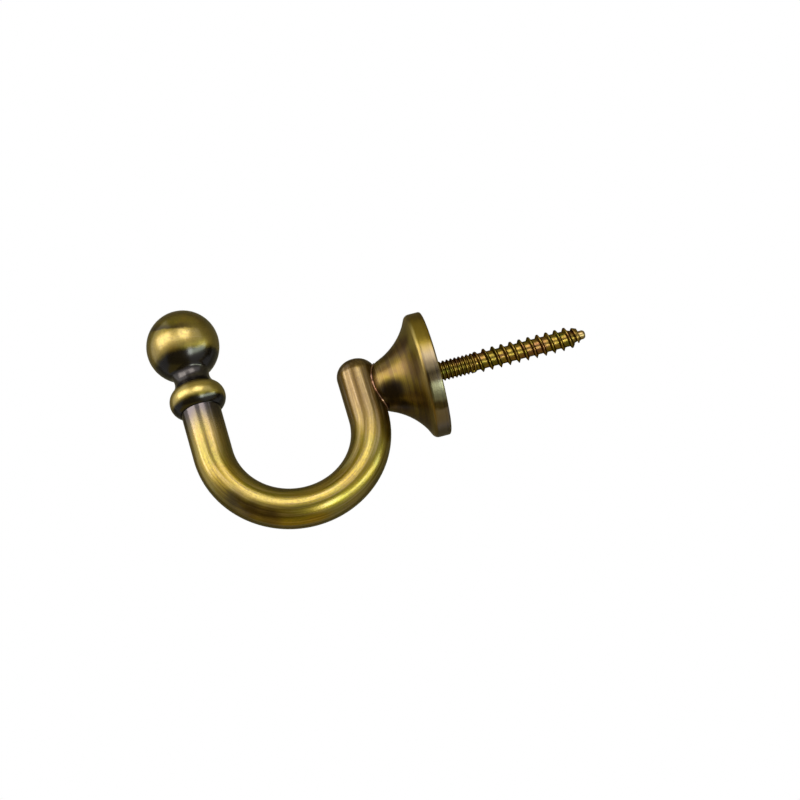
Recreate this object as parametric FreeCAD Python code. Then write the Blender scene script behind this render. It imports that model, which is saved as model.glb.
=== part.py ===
import FreeCAD, Part
import math
import os

# Curtain holdback, in millimetres.
# Z is up and X runs along the screw, into the wall.
# The origin is the centre of the face of the rose that lies on the wall.
# The hook lies in the plane Y = 0, on the side of negative X.

V = FreeCAD.Vector
X_AXIS = V(1, 0, 0)
Y_AXIS = V(0, 1, 0)
Z_AXIS = V(0, 0, 1)

# Round bar bent to the hook
ROD_D = 9.3
BEND_R = 18.4
BACK_LEG_X = 17.65
BEND_DROP = 6.25
END_RISE = 8.1
END_SHOULDER_R = 3.9
END_CROWN_R = 6.5
SPIGOT_D = 5.0
SPIGOT_L = 8.0
SPIGOT_CHAMFER = 0.5

# Turned finial on the front leg
BEAD_CENTRE_RISE = 8.5
BEAD_D = 13.2
BEAD_ROUND = 3.6
SEAT_LIP = 0.25
NECK_D = 8.3
NECK_RISE = 5.4
NECK_FLARE_RISE = 1.8
BALL_D = 17.0
BALL_RISE = 14.2
SPIGOT_FIT = 0.1
BORE_EXTRA = 1.0

# Turned wall rose
ROSE_D = 29.2
RIM_T = 3.6
RIM_ROUND = 1.4
RIM_BACK_ROUND = 0.5
FLARE_R = 15.2
NOSE_R = 5.05
NOSE_SET = 7.4
NOSE_SIDE = 1.43
RELIEF_D = 21.0
RELIEF_DEPTH = 0.8

# Brazed seam round the saddle
SEAM_W = 0.45

# Double-ended screw
MACHINE_D = 4.7
MACHINE_OUT = 9.15
MACHINE_IN = 8.0
MACHINE_CHAMFER = 0.5
HOLE_FIT = 0.1
WOOD_ROOT_D = 3.8
WOOD_CREST_D = 5.3
WOOD_PITCH = 2.15
WOOD_CREST_W = 0.15
WOOD_RIDGE_W = 1.15
WOOD_RUN_IN = 0.45
SCREW_OUT = 36.0
TAPER_L = 2.4
TIP_L = 1.7
TIP_D = 2.1
TIP_ROUND = 0.75

# Sizes that follow from the ones above
ROD_R = ROD_D / 2
BALL_R = BALL_D / 2
BEAD_R = BEAD_D / 2
NECK_R = NECK_D / 2
ROSE_R = ROSE_D / 2
FRONT_LEG_X = BACK_LEG_X + 2 * BEND_R
NECK_Z = BEAD_CENTRE_RISE + NECK_RISE
BALL_Z = BEAD_CENTRE_RISE + BALL_RISE


def line(a, b):
    return Part.LineSegment(a, b).toShape()


def arc(centre, a, b):
    """Short arc from a to b about the centre."""
    middle = (a - centre) + (b - centre)
    middle.normalize()
    return Part.Arc(a, centre + middle * (a - centre).Length, b).toShape()


def turned(edges, origin, axis):
    """Solid of a closed half outline turned about an axis."""
    face = Part.Face(Part.Wire(edges))
    return face.revolve(origin, axis, 360)


def meeting_points(centre_a, radius_a, centre_b, radius_b):
    """The two points where two circles in the plane Y = 0 cross."""
    way = centre_b - centre_a
    span = way.Length
    way.normalize()
    along = (radius_a ** 2 - radius_b ** 2 + span ** 2) / (2 * span)
    aside = math.sqrt(radius_a ** 2 - along ** 2)
    foot = centre_a + way * along
    across = V(way.z, 0, -way.x) * aside
    return foot + across, foot - across


# Hook: back leg with a domed end
end_in = ROD_R - END_SHOULDER_R
end_gap = END_CROWN_R - END_SHOULDER_R
crown_centre = V(-BACK_LEG_X, 0, END_RISE - END_CROWN_R)
shoulder_z = crown_centre.z + math.sqrt(end_gap ** 2 - end_in ** 2)
shoulder_centre = V(-BACK_LEG_X + end_in, 0, shoulder_z)
crown_way = shoulder_centre - crown_centre
crown_way.normalize()
crown_edge = crown_centre + crown_way * END_CROWN_R
crown_top = V(-BACK_LEG_X, 0, END_RISE)
leg_edge = V(-BACK_LEG_X + ROD_R, 0, shoulder_z)
leg_foot = V(-BACK_LEG_X + ROD_R, 0, -BEND_DROP)
leg_base = V(-BACK_LEG_X, 0, -BEND_DROP)
back_leg = turned([
    line(leg_base, leg_foot),
    line(leg_foot, leg_edge),
    arc(shoulder_centre, leg_edge, crown_edge),
    arc(crown_centre, crown_edge, crown_top),
    line(crown_top, leg_base),
], leg_base, Z_AXIS)

# Half-round bend, and the front leg with its spigot
bend_centre = V(-BACK_LEG_X - BEND_R, 0, -BEND_DROP)
bend_section = Part.Face(Part.Wire([Part.Circle(leg_base, Z_AXIS, ROD_R).toShape()]))
bend = bend_section.revolve(bend_centre, Y_AXIS, 180)

seat_r = ROD_R + SEAT_LIP
bead_in = BEAD_R - BEAD_ROUND
seat_z = BEAD_CENTRE_RISE - math.sqrt(BEAD_ROUND ** 2 - (seat_r - bead_in) ** 2)
front_foot = V(-FRONT_LEG_X, 0, -BEND_DROP)
front_leg = Part.makeCylinder(ROD_R, seat_z + BEND_DROP, front_foot, Z_AXIS)
spigot_foot = V(-FRONT_LEG_X, 0, seat_z)
spigot = Part.makeCylinder(SPIGOT_D / 2, SPIGOT_L, spigot_foot, Z_AXIS)
spigot_top = [e for e in spigot.Edges if e.BoundBox.ZMin > seat_z + SPIGOT_L / 2]
spigot_top = [e for e in spigot_top if e.BoundBox.ZLength < SPIGOT_L / 2]
spigot = spigot.makeChamfer(SPIGOT_CHAMFER, spigot_top)
hook_arm = back_leg.fuse([bend, front_leg, spigot]).removeSplitter()

# Finial: bead, hollow neck and ball turned in one piece
bead_centre = V(-FRONT_LEG_X + bead_in, 0, BEAD_CENTRE_RISE)
neck_in = NECK_R - bead_in
cove_r = (neck_in ** 2 + NECK_RISE ** 2 - BEAD_ROUND ** 2) / (2 * (BEAD_ROUND - neck_in))
cove_centre = V(-FRONT_LEG_X + NECK_R + cove_r, 0, NECK_Z)
bead_way = cove_centre - bead_centre
bead_way.normalize()
bead_top = bead_centre + bead_way * BEAD_ROUND
bead_side = bead_centre + V(BEAD_ROUND, 0, 0)
neck_waist = V(-FRONT_LEG_X + NECK_R, 0, NECK_Z)
flare_in = math.sqrt(cove_r ** 2 - NECK_FLARE_RISE ** 2)
neck_top = V(cove_centre.x - flare_in, 0, NECK_Z + NECK_FLARE_RISE)
seat_edge = V(-FRONT_LEG_X + seat_r, 0, seat_z)

# The neck ends in a straight stub inside the ball, so it meets the ball at any rise
ball_centre = V(-FRONT_LEG_X, 0, BALL_Z)
stub_edge = V(neck_top.x, 0, BALL_Z)
neck = turned([
    line(spigot_foot, seat_edge),
    arc(bead_centre, seat_edge, bead_side),
    arc(bead_centre, bead_side, bead_top),
    arc(cove_centre, bead_top, neck_waist),
    arc(cove_centre, neck_waist, neck_top),
    line(neck_top, stub_edge),
    line(stub_edge, ball_centre),
    line(ball_centre, spigot_foot),
], spigot_foot, Z_AXIS)
finial = neck.fuse(Part.makeSphere(BALL_R, ball_centre)).removeSplitter()
bore_r = SPIGOT_D / 2 + SPIGOT_FIT
bore_l = SPIGOT_L + BORE_EXTRA
ball_finial = finial.cut(Part.makeCylinder(bore_r, bore_l, spigot_foot, Z_AXIS))

# Rose: the nose arc and the hollow flare run into each other without a corner
nose_centre = V(-BACK_LEG_X + NOSE_SET, 0, NOSE_SIDE)
rim_corner = V(-RIM_T, 0, ROSE_R)
bends = meeting_points(rim_corner, FLARE_R, nose_centre, FLARE_R + NOSE_R)
flare_centre = max(bends, key=lambda p: p.z)
flare_way = nose_centre - flare_centre
flare_way.normalize()


def nose_points(grown):
    """Where the nose arc starts and where it meets the axis, grown by a width."""
    start = nose_centre - flare_way * (NOSE_R + grown)
    reach = math.sqrt((NOSE_R + grown) ** 2 - NOSE_SIDE ** 2)
    return start, V(nose_centre.x - reach, 0, 0)


nose_start, nose_tip = nose_points(0)
wall_centre = V(0, 0, 0)
rim_back = V(0, 0, ROSE_R)
rose = turned([
    line(wall_centre, rim_back),
    line(rim_back, rim_corner),
    arc(flare_centre, rim_corner, nose_start),
    arc(nose_centre, nose_start, nose_tip),
    line(nose_tip, wall_centre),
], wall_centre, X_AXIS)
rim_edges = [e for e in rose.Edges if abs(e.BoundBox.ZLength - ROSE_D) < RIM_BACK_ROUND / 10]
rim_edges = [e for e in rim_edges if e.BoundBox.XLength < RIM_BACK_ROUND / 10]
front_rim = [e for e in rim_edges if e.BoundBox.XMin < -RIM_T / 2]
back_rim = [e for e in rim_edges if e.BoundBox.XMin > -RIM_T / 2]
rose = rose.makeFillet(RIM_ROUND, front_rim)
back_rim = [e for e in rose.Edges if e.BoundBox.XMin > -RIM_BACK_ROUND / 10
            and e.BoundBox.ZLength > ROSE_D - RIM_BACK_ROUND / 10]
rose = rose.makeFillet(RIM_BACK_ROUND, back_rim)
leg_bore = Part.makeCylinder(ROD_R, 2 * ROSE_D, V(-BACK_LEG_X, 0, -ROSE_D), Z_AXIS)
rose = rose.cut(leg_bore)
rose = rose.cut(Part.makeCylinder(RELIEF_D / 2, RELIEF_DEPTH, wall_centre, -X_AXIS))
rose = rose.cut(Part.makeCylinder(MACHINE_D / 2 + HOLE_FIT, MACHINE_IN, wall_centre, -X_AXIS))
wall_rose = max(rose.Solids, key=lambda s: s.Volume)

# Seam: the wedge between the nose and the bar
seam_start, seam_tip = nose_points(SEAM_W)
seam_foot = V(seam_start.x, 0, 0)
seam_nose = turned([
    line(seam_foot, seam_start),
    arc(nose_centre, seam_start, seam_tip),
    line(seam_tip, seam_foot),
], wall_centre, X_AXIS)
seam_bar = Part.makeCylinder(ROD_R + SEAM_W, ROSE_D, V(-BACK_LEG_X, 0, -ROSE_R), Z_AXIS)
seam = seam_nose.common(seam_bar).cut(leg_bore).cut(rose)
weld_bead = max(seam.Solids, key=lambda s: s.Volume)

# Screw, made upright: plain machine end, cylindrical core, tapered tip
machine_r = MACHINE_D / 2
root_r = WOOD_ROOT_D / 2
crest_r = WOOD_CREST_D / 2
tip_r = TIP_D / 2
step_z = MACHINE_OUT + machine_r - root_r
nub_z = SCREW_OUT - TIP_L
taper_z = nub_z - TAPER_L
screw_foot = V(0, 0, -MACHINE_IN)
screw_end = V(0, 0, SCREW_OUT)
nub_edge = V(tip_r, 0, SCREW_OUT - TIP_ROUND)
end_edge = V(tip_r - TIP_ROUND, 0, SCREW_OUT)
core = turned([
    line(screw_foot, V(machine_r - MACHINE_CHAMFER, 0, -MACHINE_IN)),
    line(V(machine_r - MACHINE_CHAMFER, 0, -MACHINE_IN), V(machine_r, 0, MACHINE_CHAMFER - MACHINE_IN)),
    line(V(machine_r, 0, MACHINE_CHAMFER - MACHINE_IN), V(machine_r, 0, MACHINE_OUT)),
    line(V(machine_r, 0, MACHINE_OUT), V(root_r, 0, step_z)),
    line(V(root_r, 0, step_z), V(root_r, 0, taper_z)),
    line(V(root_r, 0, taper_z), V(tip_r, 0, nub_z)),
    line(V(tip_r, 0, nub_z), nub_edge),
    arc(V(tip_r - TIP_ROUND, 0, SCREW_OUT - TIP_ROUND), nub_edge, end_edge),
    line(end_edge, screw_end),
    line(screw_end, screw_foot),
], wall_centre, Z_AXIS)

# Wood thread: one helical ridge, cut by a loose envelope that narrows it at both ends
thread_depth = crest_r - root_r
ridge_base = root_r - thread_depth / 4
half_root = WOOD_RIDGE_W / 2
half_crest = WOOD_CREST_W / 2
corners = [
    V(ridge_base, 0, -half_root),
    V(crest_r, 0, -half_crest),
    V(crest_r, 0, half_crest),
    V(ridge_base, 0, half_root),
]
thread_l = nub_z - MACHINE_OUT + WOOD_RUN_IN
helix = Part.makeHelix(WOOD_PITCH, thread_l, root_r)
middle = Part.Wire([line(V(0, 0, -WOOD_PITCH), V(0, 0, thread_l + WOOD_PITCH))])
sweep = Part.BRepOffsetAPI.MakePipeShell(helix)
sweep.setAuxiliarySpine(middle, True, 0)
sweep.add(Part.makePolygon(corners + corners[:1]))
sweep.build()
sweep.makeSolid()
ridge = sweep.shape()
ridge.translate(V(0, 0, MACHINE_OUT - WOOD_RUN_IN))
outer_r = crest_r + thread_depth
outer_z = MACHINE_OUT + WOOD_PITCH * (outer_r - machine_r) / (crest_r - machine_r)
end_r = tip_r + thread_depth / 2
envelope = turned([
    line(screw_foot, V(machine_r, 0, -MACHINE_IN)),
    line(V(machine_r, 0, -MACHINE_IN), V(machine_r, 0, MACHINE_OUT)),
    line(V(machine_r, 0, MACHINE_OUT), V(outer_r, 0, outer_z)),
    line(V(outer_r, 0, outer_z), V(outer_r, 0, taper_z)),
    line(V(outer_r, 0, taper_z), V(end_r, 0, nub_z)),
    line(V(end_r, 0, nub_z), V(0, 0, nub_z)),
    line(V(0, 0, nub_z), screw_foot),
], wall_centre, Z_AXIS)
hanger_screw = core.fuse(ridge.common(envelope)).Solids[0]
hanger_screw.rotate(wall_centre, Y_AXIS, 90)

os.makedirs("parts", exist_ok=True)
hook_arm.exportStep("parts/hook_arm.step")
ball_finial.exportStep("parts/ball_finial.step")
wall_rose.exportStep("parts/wall_rose.step")
weld_bead.exportStep("parts/weld_bead.step")
hanger_screw.exportStep("parts/hanger_screw.step")
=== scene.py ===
# %% [markdown]
# # A brass curtain holdback, dressed for the camera
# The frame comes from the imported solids, in metres. X runs along the screw into
# the wall, Z is up, and the hook lies in the plane Y = 0. Each real piece gets
# one visible piece here, built the way a modeller would build it by hand, and
# then a finish of its own.

# %% Load the frame
import math
import bpy
from mathutils import Matrix, Vector


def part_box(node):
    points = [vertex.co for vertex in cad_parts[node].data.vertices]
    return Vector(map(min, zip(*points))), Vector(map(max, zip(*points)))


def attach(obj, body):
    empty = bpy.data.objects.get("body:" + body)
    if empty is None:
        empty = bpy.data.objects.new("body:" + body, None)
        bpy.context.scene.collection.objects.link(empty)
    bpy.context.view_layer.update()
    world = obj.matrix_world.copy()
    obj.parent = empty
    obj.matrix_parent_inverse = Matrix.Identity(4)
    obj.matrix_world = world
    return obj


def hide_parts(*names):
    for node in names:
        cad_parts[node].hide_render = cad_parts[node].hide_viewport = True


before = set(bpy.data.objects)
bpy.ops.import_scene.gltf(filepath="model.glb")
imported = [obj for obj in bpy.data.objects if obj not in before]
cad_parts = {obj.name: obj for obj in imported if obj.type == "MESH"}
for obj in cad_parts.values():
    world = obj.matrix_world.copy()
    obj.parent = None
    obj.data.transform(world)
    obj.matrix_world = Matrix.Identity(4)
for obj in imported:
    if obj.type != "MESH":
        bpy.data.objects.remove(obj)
bpy.context.view_layer.update()
print("nodes:", sorted(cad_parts))

# %% [markdown]
# ## Sizes
# The boxes of the solids already hold most sizes: the bar is as thick as its
# box is deep, and the bend's radius is half the way between the two legs. A
# size that is read can't disagree with its solid, as a typed one can. What a
# box can't tell, such as the roundness of the bead, is named with its piece.

# %% Read the sizes from the frame
MM = 0.001


def corners_and_size(node):
    low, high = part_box(node)
    low, high = Vector(low), Vector(high)
    return low, high, high - low


hook_low, hook_high, hook_size = corners_and_size("hook_arm")
finial_low, finial_high, finial_size = corners_and_size("ball_finial")
screw_low, screw_high = corners_and_size("hanger_screw")[:2]
rose_size = corners_and_size("wall_rose")[2]

BAR_R = hook_size.y / 2
BACK_X = hook_high.x - BAR_R
FRONT_X = hook_low.x + BAR_R
BEND_R = (BACK_X - FRONT_X) / 2
BEND_X = (BACK_X + FRONT_X) / 2
BEND_Z = hook_low.z + BAR_R + BEND_R
SEAT_Z = finial_low.z
SPIGOT_TOP = hook_high.z
BALL_R = finial_size.y / 2
BALL_Z = finial_high.z - BALL_R
ROSE_R = rose_size.z / 2
print("bar radius", round(BAR_R / MM, 2), "bend radius", round(BEND_R / MM, 2),
      "ball radius", round(BALL_R / MM, 2), "rose radius", round(ROSE_R / MM, 2))

# %% [markdown]
# ## Helpers for turned work
# Most of this object comes off a lathe. On screen a lathe is one outline spun
# about an axis. It could be drawn by eye, but a few true arcs make it smooth.
# The `arc` helper samples one arc; its step is a few degrees, fine enough that
# smooth shading hides the facets.

# %% Sample an arc
ARC_STEP = math.radians(5)


def arc(centre, start, end):
    """Points after start and up to end on the short arc about centre (radius, height)."""
    a = math.atan2(start[1] - centre[1], start[0] - centre[0])
    b = math.atan2(end[1] - centre[1], end[0] - centre[0])
    turn = (b - a + math.pi) % (2 * math.pi) - math.pi
    radius = math.dist(centre, start)
    count = max(2, math.ceil(abs(turn) / ARC_STEP))
    angles = [a + turn * k / count for k in range(1, count + 1)]
    return [(centre[0] + radius * math.cos(t), centre[1] + radius * math.sin(t)) for t in angles]


print("steps in a quarter turn:", len(arc((0, 0), (1, 0), (0, 1))))

# %% [markdown]
# Where two arcs meet, the place is a crossing of two circles, or a point on
# the way from one centre to the other. Both are worked out, so that no corner
# has to be found by trial.

# %% Find where arcs meet
def crossings(centre_a, radius_a, centre_b, radius_b):
    """The two points where two circles cross."""
    span = math.dist(centre_a, centre_b)
    way = ((centre_b[0] - centre_a[0]) / span, (centre_b[1] - centre_a[1]) / span)
    along = (radius_a ** 2 - radius_b ** 2 + span ** 2) / (2 * span)
    aside = math.sqrt(radius_a ** 2 - along ** 2)
    foot = (centre_a[0] + way[0] * along, centre_a[1] + way[1] * along)
    return [(foot[0] + way[1] * s, foot[1] - way[0] * s) for s in (aside, -aside)]


def towards(start, end, distance):
    """The point at a distance from start, on the way to end."""
    share = distance / math.dist(start, end)
    return (start[0] + (end[0] - start[0]) * share, start[1] + (end[1] - start[1]) * share)


# %% [markdown]
# A long straight run gets points of its own as well, because long thin faces
# shade badly.

# %% Divide a straight run
RUN_STEP = 0.6 * MM


def run(start, end, step=RUN_STEP):
    """Points after start and up to end on a straight line."""
    count = max(1, math.ceil(math.dist(start, end) / step))
    return [(start[0] + (end[0] - start[0]) * k / count,
             start[1] + (end[1] - start[1]) * k / count) for k in range(1, count + 1)]


# %% [markdown]
# An operator acts on all that is selected, so these helpers make sure of what
# that is. Points nearer than a thousandth of a millimetre count as one place.

# %% Select and merge
SAME_PLACE = 0.001 * MM


def deselect():
    bpy.ops.object.select_all(action="DESELECT")


def edit_mode():
    bpy.ops.object.mode_set(mode="EDIT")


def object_mode():
    bpy.ops.object.mode_set(mode="OBJECT")


def pick_alone(piece):
    """Select one piece and nothing else."""
    deselect()
    piece.select_set(True)
    bpy.context.view_layer.objects.active = piece


def merge_doubles(threshold=SAME_PLACE):
    """In edit mode, merge all points that lie in one place."""
    bpy.ops.mesh.select_all(action="SELECT")
    bpy.ops.mesh.remove_doubles(threshold=threshold)


def report(piece):
    size = piece.dimensions / MM
    print(piece.name, "faces:", len(piece.data.polygons),
          "size in mm: %.2f x %.2f x %.2f" % tuple(size))


# %% [markdown]
# The lathe itself: a tiny plane is merged to one point, the point is extruded
# along the outline, and the line is spun a full turn. A Screw modifier on the
# line would do as well, but this is what one does by hand with the Spin tool.
# The doubles where the turn closes are merged, and the normals are then
# pointed outwards.

# %% The lathe
SMOOTH_BELOW = math.radians(32)


def lathe(name, outline, place, steps, along_x=False):
    """Turn an outline of (radius, height) pairs about Z, or about X."""
    def point(pair):
        radius, height = pair
        if along_x:
            return place + Vector((height, 0, radius))
        return place + Vector((radius, 0, height))

    deselect()
    bpy.ops.mesh.primitive_plane_add(size=MM, location=point(outline[0]))
    piece = bpy.context.object
    piece.name = name
    edit_mode()
    bpy.ops.mesh.merge(type="CENTER")
    for here, there in zip(outline, outline[1:]):
        step = point(there) - point(here)
        bpy.ops.mesh.extrude_region_move(TRANSFORM_OT_translate={"value": step})
    bpy.ops.mesh.select_all(action="SELECT")
    axis = (1, 0, 0) if along_x else (0, 0, 1)
    bpy.ops.mesh.spin(steps=steps, angle=2 * math.pi, center=place, axis=axis)
    merge_doubles()
    bpy.ops.mesh.normals_make_consistent(inside=False)
    object_mode()
    bpy.ops.object.transform_apply(location=True, rotation=True, scale=True)
    bpy.ops.object.shade_smooth_by_angle(angle=SMOOTH_BELOW)
    return piece


# %% [markdown]
# ## The finial
# The ball, its hollow neck and the bead are one turned piece. A sphere and two
# rings could be set together, but the bead's arc and the neck's arc meet
# without a corner, so one outline holds all three. The neck runs up into the
# ball at a crisp crease.

# %% Sizes of the finial
BEAD_Z = 8.5 * MM
BEAD_R = 6.6 * MM
BEAD_ROUND = 3.6 * MM
SEAT_LIP = 0.25 * MM
NECK_R = 4.15 * MM
NECK_RISE = 5.4 * MM
BORE_R = 2.6 * MM
BORE_L = 9.0 * MM
bead = (BEAD_R - BEAD_ROUND, BEAD_Z)
neck_in = NECK_R - bead[0]
cove_r = (neck_in ** 2 + NECK_RISE ** 2 - BEAD_ROUND ** 2) / (2 * (BEAD_ROUND - neck_in))
cove = (NECK_R + cove_r, BEAD_Z + NECK_RISE)
ball = (0, BALL_Z)
print("radius of the neck's hollow:", round(cove_r / MM, 2), "mm")

# %% [markdown]
# The outline starts at the top of the blind bore that takes the spigot, goes
# down and out over the seat, and climbs the outside to the top of the ball.

# %% Turn the finial
seat_edge = (BAR_R + SEAT_LIP, SEAT_Z)
bead_side = (BEAD_R, BEAD_Z)
bead_top = towards(bead, cove, BEAD_ROUND)
neck_waist = (NECK_R, cove[1])
neck_top = min(crossings(ball, BALL_R, cove, cove_r))
ball_side = (BALL_R, BALL_Z)
ball_top = (0, BALL_Z + BALL_R)
finial_outline = [(0, SEAT_Z + BORE_L)]
finial_outline += [(BORE_R, SEAT_Z + BORE_L), (BORE_R, SEAT_Z)]
finial_outline += run((BORE_R, SEAT_Z), seat_edge)
finial_outline += arc(bead, seat_edge, bead_side) + arc(bead, bead_side, bead_top)
finial_outline += arc(cove, bead_top, neck_waist) + arc(cove, neck_waist, neck_top)
finial_outline += arc(ball, neck_top, ball_side) + arc(ball, ball_side, ball_top)
finial = lathe("finial", finial_outline, Vector((FRONT_X, 0, 0)), steps=128)
report(finial)

# %% [markdown]
# ## The rose
# The rose is the trumpet that stands on the wall. A cone with a bevel would be
# quicker, but the real flare is hollow and runs into a rounded nose, so it is
# turned as well, about X.

# %% Sizes of the rose
RIM_T = 3.6 * MM
RIM_ROUND = 1.4 * MM
RIM_BACK_ROUND = 0.5 * MM
FLARE_R = 15.2 * MM
NOSE_R = 5.05 * MM
NOSE_SET = 7.4 * MM
NOSE_SIDE = 1.43 * MM
RELIEF_R = 10.5 * MM
RELIEF_DEPTH = 0.8 * MM
HOLE_R = 2.45 * MM
HOLE_DEPTH = 8.0 * MM
nose = (NOSE_SIDE, BACK_X + NOSE_SET)
rim_corner = (ROSE_R, -RIM_T)
flare = max(crossings(rim_corner, FLARE_R, nose, FLARE_R + NOSE_R))
flare_end = towards(flare, nose, FLARE_R)
nose_tip = (0, nose[1] - math.sqrt(NOSE_R ** 2 - NOSE_SIDE ** 2))
print("the nose reaches", round(-nose_tip[1] / MM, 2), "mm from the wall")

# %% [markdown]
# The rim has two rounded corners. A Bevel modifier would round the other sharp
# edges as well, so the two arcs are put into the outline instead.

# %% Round a corner
def rounded_corner(before, corner, after, radius):
    """An arc that rounds a corner between two straight ways."""
    one = Vector(before) - Vector(corner)
    two = Vector(after) - Vector(corner)
    half = one.angle(two) / 2
    reach = radius / math.tan(half)
    middle = (one.normalized() + two.normalized()).normalized()
    centre = Vector(corner) + middle * (radius / math.sin(half))
    start = Vector(corner) + one.normalized() * reach
    end = Vector(corner) + two.normalized() * reach
    return [tuple(start)] + arc(tuple(centre), tuple(start), tuple(end))


# %% Turn the rose
flare_run = arc(flare, rim_corner, flare_end)
first_kept = next(k for k, p in enumerate(flare_run) if math.dist(p, rim_corner) > RIM_ROUND)
rim_front = rounded_corner((ROSE_R, 0), rim_corner, flare_run[first_kept], RIM_ROUND)
rim_back = rounded_corner((RELIEF_R, 0), (ROSE_R, 0), rim_corner, RIM_BACK_ROUND)
rose_outline = [(0, -HOLE_DEPTH), (HOLE_R, -HOLE_DEPTH), (HOLE_R, -RELIEF_DEPTH)]
rose_outline += run((HOLE_R, -RELIEF_DEPTH), (RELIEF_R, -RELIEF_DEPTH), MM)
rose_outline += [(RELIEF_R, 0)] + rim_back + rim_front
rose_outline += flare_run[first_kept:] + arc(nose, flare_end, nose_tip)
rose = lathe("rose", rose_outline, Vector((0, 0, 0)), steps=160, along_x=True)
report(rose)

# %% [markdown]
# The nose sits on the round bar, so it ends in a saddle. Its points could be
# pushed on to the bar one by one, but a cylinder as thick as the bar cuts the
# fit at once. A Boolean modifier does that cut, and it is applied like any
# other modifier. A cut can leave two points in one place, so doubles are
# merged after it.

# %% Saw the saddle
SAW_SIDES = 192
deselect()
bpy.ops.mesh.primitive_cylinder_add(vertices=SAW_SIDES, radius=BAR_R, depth=4 * ROSE_R,
                                    location=(BACK_X, 0, 0))
saw = bpy.context.object
bpy.ops.object.transform_apply(location=True)
pick_alone(rose)
cut = rose.modifiers.new("saddle", "BOOLEAN")
cut.operation = "DIFFERENCE"
cut.solver = "EXACT"
cut.object = saw
bpy.ops.object.modifier_apply(modifier=cut.name)
bpy.data.objects.remove(saw)
edit_mode()
merge_doubles()
object_mode()
bpy.ops.object.shade_smooth_by_angle(angle=SMOOTH_BELOW)
report(rose)

# %% [markdown]
# ## The bar
# The bar is one rod, bent to a hook. A curve with a round bevel would make the
# bend at once, but not the dome on one end and the spigot on the other. So the
# bar starts as one circle, which is pulled along in steps. These helpers pick
# a ring, pull it and narrow it.

# %% Pick, pull and narrow a ring
def pick_ring(piece, test):
    """Select in edit mode the points that pass a test, and nothing else."""
    bpy.ops.mesh.select_all(action="DESELECT")
    object_mode()
    for point in piece.data.vertices:
        point.select = test(point.co)
    edit_mode()


def pull(step, count=1):
    for _ in range(count):
        bpy.ops.mesh.extrude_region_move(TRANSFORM_OT_translate={"value": step})


def ring_to(centre, old_radius, new_radius, rise):
    """Extrude the picked ring by a rise and bring it to a new radius."""
    pull(Vector((0, 0, rise)))
    share = new_radius / old_radius
    bpy.ops.transform.resize(value=(share, share, 1), center_override=centre)


# %% [markdown]
# The circle starts where the dome will begin. It is extruded down the back
# leg, spun half a turn for the bend and extruded up the front leg.

# %% Extrude and spin the bar
END_RISE = 8.1 * MM
END_SHOULDER_R = 3.9 * MM
END_CROWN_R = 6.5 * MM
LEG_STEPS = 24
BEND_STEPS = 96
end_in = BAR_R - END_SHOULDER_R
crown = (0, END_RISE - END_CROWN_R)
shoulder_z = crown[1] + math.sqrt((END_CROWN_R - END_SHOULDER_R) ** 2 - end_in ** 2)
shoulder = (end_in, shoulder_z)
crown_edge = towards(crown, shoulder, END_CROWN_R)
deselect()
bpy.ops.mesh.primitive_circle_add(vertices=96, radius=BAR_R, location=(BACK_X, 0, shoulder_z))
bar = bpy.context.object
bar.name = "bar"
bpy.ops.object.transform_apply(location=True)
edit_mode()
pull(Vector((0, 0, (BEND_Z - shoulder_z) / LEG_STEPS)), LEG_STEPS)
bpy.ops.mesh.spin(steps=BEND_STEPS, angle=-math.pi, center=(BEND_X, 0, BEND_Z), axis=(0, 1, 0))
pull(Vector((0, 0, (SEAT_Z - BEND_Z) / LEG_STEPS)), LEG_STEPS)
print("the back leg is straight above", round(BEND_Z / MM, 2), "mm and domed above",
      round(shoulder_z / MM, 2), "mm")

# %% [markdown]
# The front leg ends in the turned spigot that the finial is fixed to. It is
# out of sight, but a piece that comes apart on a bench has its hidden end too.

# %% Narrow the front leg to its spigot
SPIGOT_R = 2.5 * MM
SPIGOT_CHAMFER = 0.5 * MM
SPIGOT_STEPS = 4
front_end = Vector((FRONT_X, 0, SEAT_Z))
spigot_rise = SPIGOT_TOP - SPIGOT_CHAMFER - SEAT_Z
ring_to(front_end, BAR_R, SPIGOT_R, 0)
pull(Vector((0, 0, spigot_rise / SPIGOT_STEPS)), SPIGOT_STEPS)
ring_to(front_end, SPIGOT_R, SPIGOT_R - SPIGOT_CHAMFER, SPIGOT_CHAMFER)
bpy.ops.mesh.edge_face_add()
print("the spigot rises", round((SPIGOT_TOP - SEAT_Z) / MM, 2), "mm into the finial")

# %% [markdown]
# The first circle is now picked again and closed to a dome, ring by ring. A
# half ball would be too round: the real end has a tight shoulder and a flatter
# crown, which are two arcs.

# %% Close the back leg with its dome
BAR_SMOOTH_BELOW = math.radians(40)
pick_ring(bar, lambda p: p.x > BEND_X and abs(p.z - shoulder_z) < 0.01 * MM)
dome = arc(shoulder, (BAR_R, shoulder_z), crown_edge) + arc(crown, crown_edge, (0, END_RISE))
radius, height = BAR_R, shoulder_z
for new_radius, new_height in dome[:-1]:
    ring_to(Vector((BACK_X, 0, 0)), radius, new_radius, new_height - height)
    radius, height = new_radius, new_height
pull(Vector((0, 0, dome[-1][1] - height)))
bpy.ops.mesh.merge(type="CENTER")
merge_doubles()
bpy.ops.mesh.normals_make_consistent(inside=False)
object_mode()
bpy.ops.object.shade_smooth_by_angle(angle=BAR_SMOOTH_BELOW)
report(bar)

# %% [markdown]
# ## The seam
# Rose and bar are brazed together, and the metal left in the corner is a thin
# uneven line. The line already exists: it is the edge where the saw met the
# nose. That edge is picked and copied off as its own object, which is quicker
# and truer than drawing it again.

# %% Copy the edge of the saddle
ON_BAR = 0.002 * MM
SHARP_ABOVE = math.radians(25)


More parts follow.
